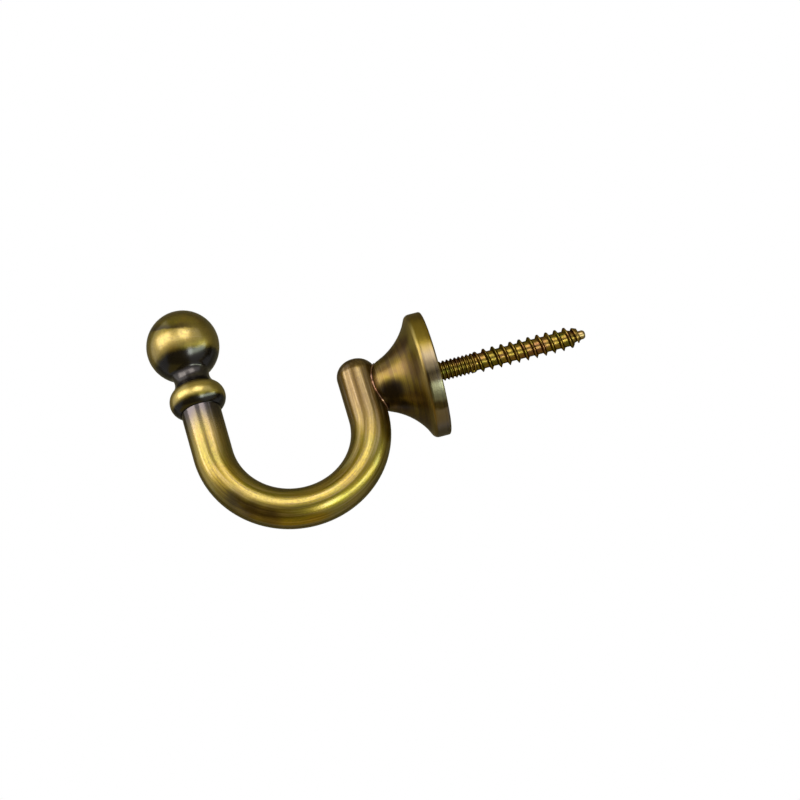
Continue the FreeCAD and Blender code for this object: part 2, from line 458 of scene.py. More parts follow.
def on_bar(p):
    return abs(math.hypot(p.x - BACK_X, p.y) - BAR_R) < ON_BAR


pick_alone(rose)
edit_mode()
bpy.ops.mesh.select_mode(type="EDGE")
bpy.ops.mesh.select_all(action="DESELECT")
bpy.ops.mesh.edges_select_sharp(sharpness=SHARP_ABOVE)
object_mode()
for edge in rose.data.edges:
    ends = [rose.data.vertices[k].co for k in edge.vertices]
    edge.select = edge.select and all(on_bar(p) for p in ends)
edit_mode()
bpy.ops.mesh.duplicate()
bpy.ops.mesh.separate(type="SELECTED")
bpy.ops.mesh.select_mode(type="VERT")
object_mode()
seam = next(o for o in bpy.context.selected_objects if o is not rose)
seam.name = "seam"
print("edge of the saddle:", len(seam.data.edges), "edges")

# %% [markdown]
# The edge becomes a curve and is given a thickness. By itself that would be as
# even as wire. So the thickness swells and thins in two slow waves, and clouds
# then push the surface in and out a little.

# %% Thicken the seam and make it uneven
SEAM_W = 0.38 * MM
SEAM_STEP = 0.1 * MM
LUMP_SIZE = 2.2 * MM
LUMP_HEIGHT = 0.12 * MM
pick_alone(seam)
edit_mode()
merge_doubles(SEAM_STEP)
object_mode()
bpy.ops.object.convert(target="CURVE")
seam.data.bevel_depth = SEAM_W
seam.data.bevel_resolution = 3
for spline in seam.data.splines:
    for k, point in enumerate(spline.points):
        quick_wave = 0.1 * math.sin(0.45 * k)
        slow_wave = 0.06 * math.sin(0.17 * k + 1)
        point.radius = 0.8 + quick_wave + slow_wave
bpy.ops.object.convert(target="MESH")
lumps = bpy.data.textures.new("lumps", "CLOUDS")
lumps.noise_scale = LUMP_SIZE
uneven = seam.modifiers.new("uneven", "DISPLACE")
uneven.texture = lumps
uneven.texture_coords = "LOCAL"
uneven.strength = LUMP_HEIGHT
uneven.mid_level = 0.55
bpy.ops.object.modifier_apply(modifier=uneven.name)
bpy.ops.object.shade_smooth()
report(seam)

# %% [markdown]
# ## The screw
# The hanger screw is one steel pin with two threads: a fine one that goes into
# the rose, and a coarse one for the wall, down to a blunt tip. The core is
# turned like the other pieces.

# %% Sizes of the screw
SCREW_END = screw_high.x
MACHINE_IN = -screw_low.x
MACHINE_OUT = 9.15 * MM
MACHINE_R = 2.35 * MM
MACHINE_ROOT = 1.92 * MM
MACHINE_PITCH = 0.94 * MM
WOOD_ROOT = 1.90 * MM
WOOD_CREST = 2.65 * MM
WOOD_PITCH = 2.15 * MM
WOOD_RUN_IN = 0.45 * MM
NUB_X = SCREW_END - 1.7 * MM
TAPER_X = NUB_X - 2.4 * MM
TIP_R = 1.05 * MM
TIP_ROUND = 0.75 * MM
CHAMFER = 0.3 * MM
shank_x = MACHINE_OUT + 0.1 * MM
nub = (TIP_R - TIP_ROUND, SCREW_END - TIP_ROUND)
print("the screw stands out", round(SCREW_END / MM, 2), "mm behind the rose")

# %% Turn the core of the screw
core_outline = [(0, -MACHINE_IN), (MACHINE_ROOT - CHAMFER, -MACHINE_IN)]
core_outline += [(MACHINE_ROOT, CHAMFER - MACHINE_IN)]
core_outline += run(core_outline[-1], (MACHINE_ROOT, MACHINE_OUT - 0.35 * MM))
core_outline += [(MACHINE_R - 0.1 * MM, MACHINE_OUT)]
core_outline += [(WOOD_ROOT, MACHINE_OUT + MACHINE_R - WOOD_ROOT)]
for corner in ((WOOD_ROOT, TAPER_X), (TIP_R, NUB_X), (TIP_R, nub[1])):
    core_outline += run(core_outline[-1], corner)
core_outline += arc(nub, (TIP_R, nub[1]), (nub[0], SCREW_END)) + [(0, SCREW_END)]
screw = lathe("screw", core_outline, Vector((0, 0, 0)), steps=64, along_x=True)
report(screw)

# %% [markdown]
# Each thread is a thin ridge. Rings stacked on the core would look like one
# from the side, but a thread has to climb. So the ridge's cross section is
# drawn once, closed, and the Screw modifier winds it along. The open ends are
# filled. Where a real thread fades out, the ridge is pressed down on to the
# core.

# %% Wind a ridge round the core
def wind(name, section, pitch, start_x, turns, limit, steps):
    """Wind a closed section of (radius, along) pairs about X, no higher than limit(x)."""
    deselect()
    bpy.ops.mesh.primitive_circle_add(vertices=len(section), radius=MM)
    ridge = bpy.context.object
    ridge.name = name
    for point, (radius, along) in zip(ridge.data.vertices, section):
        point.co = (radius, 0, start_x + along)
    winding = ridge.modifiers.new("winding", "SCREW")
    winding.axis = "Z"
    winding.screw_offset = pitch
    winding.iterations = turns
    winding.steps = steps
    winding.render_steps = steps
    winding.use_smooth_shade = True
    bpy.ops.object.modifier_apply(modifier=winding.name)
    edit_mode()
    bpy.ops.mesh.select_all(action="DESELECT")
    bpy.ops.mesh.select_non_manifold()
    bpy.ops.mesh.edge_face_add()
    bpy.ops.mesh.select_all(action="SELECT")
    bpy.ops.mesh.normals_make_consistent(inside=False)
    object_mode()
    for point in ridge.data.vertices:
        radius = math.hypot(point.co.x, point.co.y)
        share = min(1, limit(point.co.z) / radius)
        point.co = (point.co.x * share, point.co.y * share, point.co.z)
    ridge.rotation_euler = (0, math.pi / 2, 0)
    bpy.ops.object.transform_apply(rotation=True)
    return ridge


# %% [markdown]
# A section is a small vee with its foot sunk into the core. The flanks of the
# wood thread are a little hollow, so that the ridge is wide at its foot and
# thin at its crest. Those of the machine thread are straight.

# %% Draw the section of a thread
def vee(foot, crest, foot_half, crest_half, hollow, count):
    """Closed cross section of a thread, with flanks that are hollow for hollow > 1."""
    shares = [k / count for k in range(count + 1)]
    half = [crest_half + (foot_half - crest_half) * (1 - s) ** hollow for s in shares]
    rise = [foot + (crest - foot) * s for s in shares]
    lower = [(r, -h) for r, h in zip(rise, half)]
    upper = [(r, h) for r, h in zip(rise, half)]
    return lower + upper[::-1]


wood_section = vee(WOOD_ROOT - 0.15 * MM, WOOD_CREST, 0.62 * MM, 0.09 * MM, hollow=1.15, count=4)
machine_section = vee(MACHINE_ROOT - 0.1 * MM, MACHINE_R, 0.5 * MM, 0.06 * MM, hollow=1.0, count=2)
print("points in the sections:", len(wood_section), "and", len(machine_section))

# %% [markdown]
# The wood thread grows to its full height in its first turn out of the fine
# one. It narrows with the tapered point and is gone in the nub. The machine
# thread fades at both of its ends.

# %% How high each thread may be
def wood_limit(x):
    if x > NUB_X:
        return TIP_R * 0.9
    if x > TAPER_X:
        share = (x - TAPER_X) / (NUB_X - TAPER_X)
        return WOOD_CREST + (TIP_R + 0.7 * MM - WOOD_CREST) * share
    if x < MACHINE_OUT:
        return MACHINE_R - 0.08 * MM
    return min(WOOD_CREST, MACHINE_R + (x - MACHINE_OUT) * (WOOD_CREST - MACHINE_R) / WOOD_PITCH)


def machine_limit(x):
    from_end = x + MACHINE_IN
    return min(MACHINE_R, MACHINE_R - 0.5 * MM + from_end, MACHINE_R + (shank_x - x) * 0.6)


print("wood thread 1 mm out of the fine one:", round(wood_limit(MACHINE_OUT + MM) / MM, 2), "mm")

# %% Wind both threads
wood_thread = wind("wood_thread", wood_section, WOOD_PITCH, MACHINE_OUT - WOOD_RUN_IN,
                   turns=12, limit=wood_limit, steps=64)
machine_turns = math.floor((shank_x + MACHINE_IN) / MACHINE_PITCH)
machine_thread = wind("machine_thread", machine_section, MACHINE_PITCH, 0.4 * MM - MACHINE_IN,
                      turns=machine_turns, limit=machine_limit, steps=48)
report(wood_thread)
report(machine_thread)

# %% [markdown]
# Core and threads are one pin, so they are joined to one object. A Boolean
# union could weld them as well, but the foot of each ridge is out of sight in
# the core, and closed shells that sink into each other render the same.

# %% Join the screw
deselect()
for part in (machine_thread, wood_thread, screw):
    part.select_set(True)
bpy.context.view_layer.objects.active = screw
bpy.ops.object.join()
report(screw)

# %% [markdown]
# ## A map along the bar
# Drawing the bar left fine lines along it, and they go round the bend with it.
# Plain object coordinates would run straight through the bend. So each point
# keeps where it would lie if the bar were straight, as an attribute.

# %% Unbend the bar in an attribute
unbent = bar.data.attributes.new("unbent", "FLOAT_VECTOR", "POINT")
for point, mark in zip(bar.data.vertices, unbent.data):
    p = point.co
    if p.z < BEND_Z:
        outward = math.hypot(p.x - BEND_X, p.z - BEND_Z) - BEND_R
        along = -BEND_R * math.atan2(BEND_Z - p.z, p.x - BEND_X)
    elif p.x > BEND_X:
        outward = p.x - BACK_X
        along = p.z - BEND_Z
    else:
        outward = FRONT_X - p.x
        along = -math.pi * BEND_R - (p.z - BEND_Z)
    mark.vector = (outward, p.y, along)
print("marks along the bar:", len(unbent.data))

# %% [markdown]
# ## Each piece takes the place of its solid
# The imported solids stay in the file for the physics, and are hidden here.

# %% Ride and replace the solids
for piece, node, slot in ((bar, "hook_arm", "antique_brass_bar"),
                          (finial, "ball_finial", "antique_brass_finial"),
                          (rose, "wall_rose", "antique_brass_rose"),
                          (seam, "weld_bead", "braze_seam"),
                          (screw, "hanger_screw", "yellow_passivated_steel")):
    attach(piece, "root")
    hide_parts(node)
    print(piece.name, "stands for", node)

# %% [markdown]
# ## Helpers for finishes
# A finish is a tree of nodes. In the node editor each one is added and wired
# by hand, and `add` does both: an input is either a plain value or a socket of
# another node, which it links.

# %% Add and link nodes
def add(tree, kind, inputs=None, **settings):
    node = tree.nodes.new(kind)
    for key, value in settings.items():
        setattr(node, key, value)
    for socket, value in (inputs or {}).items():
        if isinstance(value, bpy.types.NodeSocket):
            tree.links.new(value, node.inputs[socket])
        else:
            node.inputs[socket].default_value = value
    return node


# %% [markdown]
# Most nodes are plain sums and measures, so each kind gets a short name.

# %% Sums and measures
def spread(tree, value, low, high, to_low=0.0, to_high=1.0):
    """Stretch a value so that low to high becomes to_low to to_high, softly."""
    inputs = {0: value, 1: low, 2: high, 3: to_low, 4: to_high}
    return add(tree, "ShaderNodeMapRange", inputs, interpolation_type="SMOOTHSTEP").outputs[0]


def sum_of(tree, operation, first, others):
    for other in others:
        first = add(tree, "ShaderNodeMath", {0: first, 1: other}, operation=operation).outputs[0]
    return first


def times(tree, first, *others):
    return sum_of(tree, "MULTIPLY", first, others)


def plus(tree, first, *others):
    return sum_of(tree, "ADD", first, others)


def vector_sum(tree, operation, one, two):
    return add(tree, "ShaderNodeVectorMath", {0: one, 1: two}, operation=operation).outputs[0]


def measure(tree, operation, one, two=(0, 0, 0)):
    """One number from vectors, such as a distance or a dot product."""
    return add(tree, "ShaderNodeVectorMath", {0: one, 1: two}, operation=operation).outputs["Value"]


# %% [markdown]
# A place is where on the piece a colour is asked for. Noise is read at the
# place, and a stretched place gives stretched noise.

# %% Places and noise
def object_place(tree):
    return add(tree, "ShaderNodeTexCoord").outputs["Object"]


def parts_of(tree, place):
    """The X, Y and Z of a place, as three numbers."""
    return add(tree, "ShaderNodeSeparateXYZ", {0: place}).outputs


def stretched(tree, place, scale):
    return add(tree, "ShaderNodeMapping", {"Vector": place, "Scale": scale}).outputs[0]


def grain(tree, place, scale, detail=3):
    """Noise from 0 to 1; scale is how many grains fit in a unit of the place."""
    inputs = {"Vector": place, "Scale": scale, "Detail": detail, "Roughness": 0.55}
    return add(tree, "ShaderNodeTexNoise", inputs).outputs[0]


# %% [markdown]
# Colours are laid over each other like thin washes: `blend` lays one over
# another by a share, `washed` does so where a value says it, and `stained` on
# a few spots. A spot is a place on the piece in millimetres.

# %% Colours over colours
def colour(red, green, blue):
    return (red, green, blue, 1)


def blend(tree, share, one, two):
    """A colour between two colours."""
    return add(tree, "ShaderNodeMix", {0: share, 6: one, 7: two}, data_type="RGBA").outputs[2]


def washed(tree, tint, tone, share, value, low, high):
    """A share of another colour, where a value goes from low to high."""
    return blend(tree, times(tree, spread(tree, value, low, high), share), tint, tone)


def stained(tree, tint, tone, share, place, spots, reach, ragged):
    """A share of another colour on a few spots, with ragged edges."""
    for spot in spots:
        gap = measure(tree, "DISTANCE", place, [v * MM for v in spot])
        ragged_gap = plus(tree, gap, times(tree, ragged, reach))
        tint = washed(tree, tint, tone, share, ragged_gap, 1.4 * reach, 0.7 * reach)
    return tint


def ramp(tree, value, stops):
    """A colour ramp from (position, colour) pairs, lowest first."""
    node = add(tree, "ShaderNodeValToRGB", {0: value})
    marks = node.color_ramp.elements
    marks[0].position, marks[0].color = stops[0]
    marks[1].position, marks[1].color = stops[-1]
    for position, tone in stops[1:-1]:
        marks.new(position).color = tone
    return node.outputs[0]


# %% [markdown]
# Every finish here is a metal. Its fine relief is a bump, because lines a few
# thousandths of a millimetre deep only show in the highlights, and in the mesh
# they would cost very many faces.

# %% Start and end a metal
def new_metal(name):
    """A bare metal, with its tree and shader."""
    metal = bpy.data.materials.new(name)
    metal.use_nodes = True
    shader = metal.node_tree.nodes["Principled BSDF"]
    shader.inputs["Metallic"].default_value = 1
    return metal, metal.node_tree, shader


def relief(tree, shader, height, depth):
    """Turn a height from 0 to 1 into fine relief of a depth in metres."""
    bump = add(tree, "ShaderNodeBump", {"Strength": 1.0, "Distance": depth, "Height": height})
    tree.links.new(bump.outputs[0], shader.inputs["Normal"])


def finish_with(piece, metal):
    piece.data.materials.clear()
    piece.data.materials.append(metal)
    print(piece.name, "has", len(metal.node_tree.nodes), "nodes in", metal.name)


# %% [markdown]
# ## Antique brass
# The finish starts as bright brass. It is darkened in a bath, rubbed back so
# that the colour returns where a cloth reaches, and sealed with clear lacquer.
# The dark stays in hollows. Undersides are darker too, partly patina and
# partly painted shade, and some bright bands and patches are painted
# highlights and reflections. The metal itself is a deep yellow olive; the pale
# gloss on top comes from the lacquer, which is the shader's coat. It also gives
# silvery streaks where the metal is nearly black.

# %% Colours of the brass
# Some of these colours also serve as painted shade, highlights and reflections, as said where they
# are used.
BLACK_BATH_AND_SHADE = colour(0.009, 0.007, 0.007)
GREY_BATH = colour(0.034, 0.028, 0.028)
LILAC_BATH_AND_SHADE = colour(0.062, 0.050, 0.054)
PALE_REFLECTION = colour(0.150, 0.130, 0.130)
DARK_BROWN = colour(0.055, 0.028, 0.010)
DEEP_BROWN = colour(0.018, 0.009, 0.003)
OLIVE = colour(0.225, 0.155, 0.008)
GREEN_OLIVE = colour(0.190, 0.152, 0.006)
WARM_BRONZE = colour(0.115, 0.066, 0.015)
BROWN_BRONZE = colour(0.150, 0.086, 0.014)
OLIVE_RUB_AND_HIGHLIGHT = colour(0.300, 0.235, 0.050)
RUBBED_GOLD_AND_REFLECTION = colour(0.350, 0.255, 0.065)
BEAD_GOLD = colour(0.365, 0.275, 0.060)
PALE_RUB_AND_HIGHLIGHT = colour(0.480, 0.350, 0.190)
GREY_GREEN = colour(0.145, 0.151, 0.100)
GREY_PINK = colour(0.185, 0.145, 0.096)
print("the olive metal mirrors", [round(v, 3) for v in OLIVE[:3]], "of red, green and blue")

# %% Lacquer it
def lacquer(shader, gloss, weight):
    """Clear coat; the metal under it darkens a little towards its edges."""
    shader.inputs["Coat Weight"].default_value = weight
    shader.inputs["Coat Roughness"].default_value = gloss
    shader.inputs["Coat IOR"].default_value = 1.5
    shader.inputs["Specular Tint"].default_value = colour(0.45, 0.40, 0.25)


# %% [markdown]
# ## Finish of the bar
# On the bar the rubbed lines run lengthwise. A picture of brushed brass could
# be wrapped round it, but noise never repeats. It is read along the unbent
# bar, long one way and fine across. Small dark specks are handling marks.

# %% Patterns of the bar
bar_metal, tree, shader = new_metal("antique_brass_bar")
lacquer(shader, 0.16, 0.6)
place = object_place(tree)
parts = parts_of(tree, place)
marks = add(tree, "ShaderNodeAttribute", attribute_name="unbent").outputs["Vector"]
lines = grain(tree, stretched(tree, marks, (2000, 2000, 70)), 1.0, 4)
broad = grain(tree, stretched(tree, marks, (500, 500, 40)), 1.0)
cloud = grain(tree, marks, 190, 4)
specks = grain(tree, marks, 2300)
on_back = spread(tree, parts["X"], BEND_X, BACK_X - 0.5 * BAR_R)
on_front = spread(tree, parts["X"], BEND_X, FRONT_X + 0.5 * BAR_R)
high = spread(tree, parts["Z"], BEND_Z - 0.6 * BEND_R, BEND_Z + 3 * MM)
near_braze = times(tree, on_back, high)
print("patterns of the bar:", len(tree.nodes), "nodes")

# %% [markdown]
# Near the braze, heat made the brass warm. Over that lie the lines, pale where
# the cloth rubbed and dark where it didn't reach.

# %% Colours along the bar
tint = blend(tree, spread(tree, cloud, 0.38, 0.62), OLIVE, GREEN_OLIVE)
tint = blend(tree, times(tree, near_braze, 0.9), tint, WARM_BRONZE)
tint = washed(tree, tint, RUBBED_GOLD_AND_REFLECTION, 0.35, broad, 0.45, 0.7)
tint = washed(tree, tint, PALE_RUB_AND_HIGHLIGHT, 0.36, lines, 0.5, 0.7)
tint = washed(tree, tint, DARK_BROWN, 0.5, lines, 0.47, 0.33)
tint = washed(tree, tint, DARK_BROWN, 0.17, specks, 0.44, 0.66)
print("with its colours:", len(tree.nodes), "nodes")

# %% [markdown]
# A dark patch low on the front of the bend is painted shade, a dark reflection.
# The front leg is rubbed palest, partly wear and partly a painted highlight.
# Below the finial the bath was left on and polished; that dark is also painted
# shade under the bead. The dome is a little darker than its leg, as painted shade.

# %% Painted shade and wear of the bar
# Painted shade: a dark patch low on the front of the bend.
BEND_PAINTED_SHADE = ((-52.5, -3.4, -19.5), (-49.5, -3.2, -23.0), (-46.0, -3.0, -26.0))
tint = stained(tree, tint, DARK_BROWN, 0.7, place, BEND_PAINTED_SHADE, 4.2 * MM, broad)
# Partly wear, partly a painted highlight: the front leg is made paler.
wear_and_painted_highlight = times(tree, on_front, spread(tree, parts["Z"], BEND_Z - 6 * MM, BEND_Z + 6 * MM))
tint = blend(tree, times(tree, wear_and_painted_highlight, 0.14), tint, PALE_RUB_AND_HIGHLIGHT)
# Partly patina, partly painted shade: the dark just under the bead.
uneven_height = plus(tree, parts["Z"], times(tree, broad, 5 * MM))
below_bead = spread(tree, uneven_height, SEAT_Z - 6.5 * MM, SEAT_Z + 2.2 * MM)
bath_and_painted_shade = times(tree, on_front, below_bead)
tint = blend(tree, bath_and_painted_shade, tint, LILAC_BATH_AND_SHADE)
# Painted shade: the top of the dome is made darker.
dome_painted_shade = spread(tree, parts["Z"], shoulder_z + 0.1 * MM, shoulder_z + 0.7 * MM)
tint = blend(tree, times(tree, on_back, dome_painted_shade, 0.3), tint, DARK_BROWN)
tree.links.new(tint, shader.inputs["Base Color"])
print("with its stains:", len(tree.nodes), "nodes")

# %% [markdown]
# Specks are duller than clean metal, and so is the metal near the braze. The
# polished bath is glossier.

# %% Gloss and relief of the bar
duller = plus(tree, times(tree, near_braze, 0.05), times(tree, bath_and_painted_shade, -0.13))
roughness = plus(tree, spread(tree, specks, 0.3, 0.7, 0.28, 0.36), duller)
tree.links.new(roughness, shader.inputs["Roughness"])
relief(tree, shader, plus(tree, lines, times(tree, specks, 0.2)), 0.004 * MM)
finish_with(bar, bar_metal)

# %% [markdown]
# ## Finish of the finial
# The finial turned on the lathe, so its lines are rings, and the noise is fine
# along Z and long across. The gold belt round the middle of the ball and the
# gold top of the bead are partly rubbed wear and partly painted reflection.

# %% Patterns, wear and painted reflections of the finial
finial_metal, tree, shader = new_metal("antique_brass_finial")
lacquer(shader, 0.2, 0.8)
place = object_place(tree)
parts = parts_of(tree, place)
height = parts["Z"]
centred = add(tree, "ShaderNodeMapping", {"Vector": place, "Location": (-FRONT_X, 0, 0)}).outputs[0]
rings = grain(tree, stretched(tree, centred, (60, 60, 2600)), 1.0, 4)
cloud = grain(tree, centred, 230, 4)
specks = grain(tree, centred, 2300)
dents = grain(tree, centred, 700, 1)
tint = blend(tree, spread(tree, cloud, 0.38, 0.62), OLIVE, GREEN_OLIVE)
# Partly wear, partly painted reflection: a gold belt round the ball.
belt_low = spread(tree, height, BALL_Z - 0.55 * BALL_R, BALL_Z - 0.3 * BALL_R)
belt_high = spread(tree, height, BALL_Z + 0.35 * BALL_R, BALL_Z - 0.05 * BALL_R)
tint = blend(tree, times(tree, belt_low, belt_high, 0.65), tint, RUBBED_GOLD_AND_REFLECTION)
# Partly wear, partly painted reflection: the top of the bead made gold.
bead_low = spread(tree, height, BEAD_Z - 1.8 * MM, BEAD_Z - 0.8 * MM)
bead_high = spread(tree, height, BEAD_Z + 3.0 * MM, BEAD_Z + 2.0 * MM)
tint = blend(tree, times(tree, bead_low, bead_high), tint, BEAD_GOLD)
tint = washed(tree, tint, PALE_RUB_AND_HIGHLIGHT, 0.2, rings, 0.58, 0.78)
tint = washed(tree, tint, DARK_BROWN, 0.22, specks, 0.44, 0.68)
print("patterns of the finial:", len(tree.nodes), "nodes")

# %% [markdown]
# A painted dark reflection, a brow soft above and sharper below, crosses the
# front of the ball. A row of spots would look lumpy. It lies along one tilted
# plane, so the height over that plane, a dot product, draws it, and noise makes
# it ragged.

# %% The painted brow
BROW_UP = (0.212, -0.325, 0.921)
BROW_AT = 13.1 * MM
ragged = times(tree, grain(tree, place, 500), 1.1 * MM)
over_brow = plus(tree, measure(tree, "DOT_PRODUCT", place, BROW_UP), ragged)
brow_low = spread(tree, over_brow, BROW_AT, BROW_AT + 0.5 * MM)
brow_high = spread(tree, over_brow, BROW_AT + 2.3 * MM, BROW_AT + 0.6 * MM)
in_front = spread(tree, parts["Y"], -2 * MM, -5 * MM)
left_side = spread(tree, parts["X"], FRONT_X + 5 * MM, FRONT_X + 0.5 * MM)
# Painted dark reflection: a dark band across the front of the ball.
painted_brow_mask = times(tree, brow_low, brow_high, in_front, left_side, 0.75)
tint = blend(tree, painted_brow_mask, tint, DEEP_BROWN)
print("with the brow:", len(tree.nodes), "nodes")

# %% [markdown]
# A dark cap under the ball is partly patina and partly painted shade. The neck
# is dark with patina. The bead's underside is partly patina and partly painted
# shade. Their borders are heights with some noise added, so they wander.

# %% Patina and painted shade of the finial
wavy = plus(tree, height, times(tree, cloud, 1.6 * MM))
# Partly patina, partly painted shade: the dark cap under the ball.
cap_patina_and_shade = spread(tree, wavy, BALL_Z - 0.28 * BALL_R, BALL_Z - 0.45 * BALL_R)
above_bead = spread(tree, wavy, BEAD_Z + 3.0 * MM, BEAD_Z + 4.0 * MM)
tint = blend(tree, times(tree, cap_patina_and_shade, above_bead), tint, BLACK_BATH_AND_SHADE)
neck_only = spread(tree, wavy, neck_top[1] + 1.2 * MM, neck_top[1])
tint = blend(tree, times(tree, neck_only, above_bead), tint, GREY_BATH)
# Partly patina, partly painted shade: the bead's dark underside.
under_bead_patina_and_shade = spread(tree, wavy, BEAD_Z - 0.2 * MM, BEAD_Z - 1.2 * MM)
tint = blend(tree, under_bead_patina_and_shade, tint, BLACK_BATH_AND_SHADE)
tree.links.new(tint, shader.inputs["Base Color"])
print("with the bath:", len(tree.nodes), "nodes")

# %% [markdown]
# The relief is the rings of the lathe and, where the noise peaks, a few small
# dents.

# %% Gloss and relief of the finial
tree.links.new(spread(tree, specks, 0.3, 0.7, 0.29, 0.41), shader.inputs["Roughness"])
dented = spread(tree, dents, 0.74, 0.8, 1.0, 0.0)
relief(tree, shader, plus(tree, times(tree, dented, 3), times(tree, rings, 0.4)), 0.006 * MM)
finish_with(finial, finial_metal)

# %% [markdown]
# ## Finish of the rose
# The rose shows its turning best: fine rings all the way down the flare. A
# ring has one radius and one place along the axis, so the noise is fed with
# these two numbers. The metal is browner than the bar's, in broad bands.

# %% Patterns of the rose
rose_metal, tree, shader = new_metal("antique_brass_rose")
lacquer(shader, 0.26, 0.4)
place = object_place(tree)
parts = parts_of(tree, place)
across = add(tree, "ShaderNodeCombineXYZ", {"Y": parts["Y"], "Z": parts["Z"]}).outputs[0]
radius = measure(tree, "LENGTH", across)
ring_place = add(tree, "ShaderNodeCombineXYZ", {"X": parts["X"], "Y": radius}).outputs[0]
rings = grain(tree, ring_place, 3800, 4)
bands = grain(tree, ring_place, 620)
cloud = grain(tree, place, 170, 4)
tint = blend(tree, spread(tree, cloud, 0.36, 0.60), OLIVE, BROWN_BRONZE)
banded = plus(tree, 0.25, times(tree, spread(tree, bands, 0.42, 0.66), 0.4))
tint = blend(tree, banded, tint, DARK_BROWN)
tint = washed(tree, tint, OLIVE_RUB_AND_HIGHLIGHT, 0.5, rings, 0.54, 0.7)
tint = washed(tree, tint, DARK_BROWN, 0.5, rings, 0.46, 0.32)
print("patterns of the rose:", len(tree.nodes), "nodes")

# %% [markdown]
# High on the flare are olive patches of painted highlight, and beside them a
# brown one, nearer to the bar. The front lip of the rim is rubbed to gold. Dark
# patches in the lower half of the nose, beside the bar, are painted shade.

# %% Painted highlights, lip and painted shade of the rose
RIM_PAINTED_HIGHLIGHTS = ((-3.0, -13.0, 6.5), (-3.0, -14.0, 3.5))
TOP_PAINTED_HIGHLIGHTS = ((-4.6, -7.0, 9.5), (-4.8, -9.4, 7.8))
BROWN_PATCHES = ((-5.7, -9.8, 4.6), (-6.8, -8.8, 3.6))
NOSE_PAINTED_SHADE = ((-12.4, -4.8, -3.6), (-10.4, -5.4, -4.5), (-12.0, -3.4, -5.4), (-9.4, -2.5, -7.4))
# Painted highlights: olive patches high on the flare.
tint = stained(tree, tint, OLIVE_RUB_AND_HIGHLIGHT, 0.8, place, RIM_PAINTED_HIGHLIGHTS, 4.5 * MM, cloud)
tint = stained(tree, tint, OLIVE_RUB_AND_HIGHLIGHT, 0.45, place, TOP_PAINTED_HIGHLIGHTS, 4 * MM, cloud)
tint = stained(tree, tint, DARK_BROWN, 0.5, place, BROWN_PATCHES, 2.6 * MM, cloud)
lip_in = spread(tree, radius, ROSE_R - 1.9 * MM, ROSE_R - 1.1 * MM)
lip_out = spread(tree, radius, ROSE_R - 0.05 * MM, ROSE_R - 0.4 * MM)
tint = blend(tree, times(tree, lip_in, lip_out, 0.5), tint, RUBBED_GOLD_AND_REFLECTION)
# Painted shade: dark patches low on the nose beside the bar.
tint = stained(tree, tint, DEEP_BROWN, 0.95, place, NOSE_PAINTED_SHADE, 3.3 * MM, cloud)
print("with its patches:", len(tree.nodes), "nodes")

# %% [markdown]
# The bands on the outside of the rim are painted reflections of lamps and dark
# surroundings. A colour ramp runs up it, from its lowest point to its highest,
# and the rest of the rim is olive.

# %% Painted reflections on the rim
# Painted reflections: pale, black, grey-green and grey-pink bands up the rim.
RIM_PAINTED_REFLECTIONS = ((0.020, PALE_REFLECTION), (0.027, BLACK_BATH_AND_SHADE), (0.042, BLACK_BATH_AND_SHADE), (0.054, GREY_GREEN),
             (0.135, GREY_GREEN), (0.175, BLACK_BATH_AND_SHADE), (0.235, BLACK_BATH_AND_SHADE), (0.29, GREY_PINK),
             (0.44, GREY_PINK), (0.60, OLIVE))
on_rim = spread(tree, radius, ROSE_R - 0.2 * MM, ROSE_R - 0.05 * MM)
rim_height = plus(tree, parts["Z"], times(tree, grain(tree, place, 300, 2), 1.2 * MM))
painted_rim_reflection = ramp(tree, spread(tree, rim_height, -ROSE_R, ROSE_R), RIM_PAINTED_REFLECTIONS)
tint = blend(tree, times(tree, on_rim, 0.75), tint, painted_rim_reflection)
print("bands on the rim:", len(RIM_PAINTED_REFLECTIONS), "stops")

# %% [markdown]
# The bath also stayed along the braze, close to the bar. The distance from the
# bar's axis finds that place.

# %% Crease, gloss and relief of the rose
from_leg = vector_sum(tree, "ADD", place, (-BACK_X, 0, 0))
from_bar = measure(tree, "LENGTH", vector_sum(tree, "MULTIPLY", from_leg, (1, 1, 0)))
tint = washed(tree, tint, DARK_BROWN, 0.85, from_bar, BAR_R + 0.9 * MM, BAR_R + 0.35 * MM)
tree.links.new(tint, shader.inputs["Base Color"])
tree.links.new(spread(tree, rings, 0.3, 0.75, 0.3, 0.44), shader.inputs["Roughness"])
relief(tree, shader, rings, 0.007 * MM)
finish_with(rose, rose_metal)

# %% [markdown]
# ## Finish of the seam
# The braze is a copper alloy that was brushed last, so it is the pinkest metal
# here. It has no lacquer of its own, and one gloss all over.

# %% Finish of the seam
DARK_COPPER = colour(0.160, 0.080, 0.045)
PALE_COPPER = colour(0.320, 0.190, 0.130)
seam_metal, tree, shader = new_metal("braze_seam")
shader.inputs["Roughness"].default_value = 0.28
cloud = grain(tree, object_place(tree), 700)
tint = blend(tree, spread(tree, cloud, 0.4, 0.6), DARK_COPPER, PALE_COPPER)
tree.links.new(tint, shader.inputs["Base Color"])
relief(tree, shader, cloud, 0.03 * MM)
finish_with(seam, seam_metal)

# %% [markdown]
# ## Finish of the screw
# The screw is steel with a yellow passivated zinc coat. The coat is so thin
# that its colour drifts between gold, olive and pink where it is a little
# thicker or thinner. Slow noise picks the colour, and fine noise dulls it. The
# blunt tip is rubbed pale.

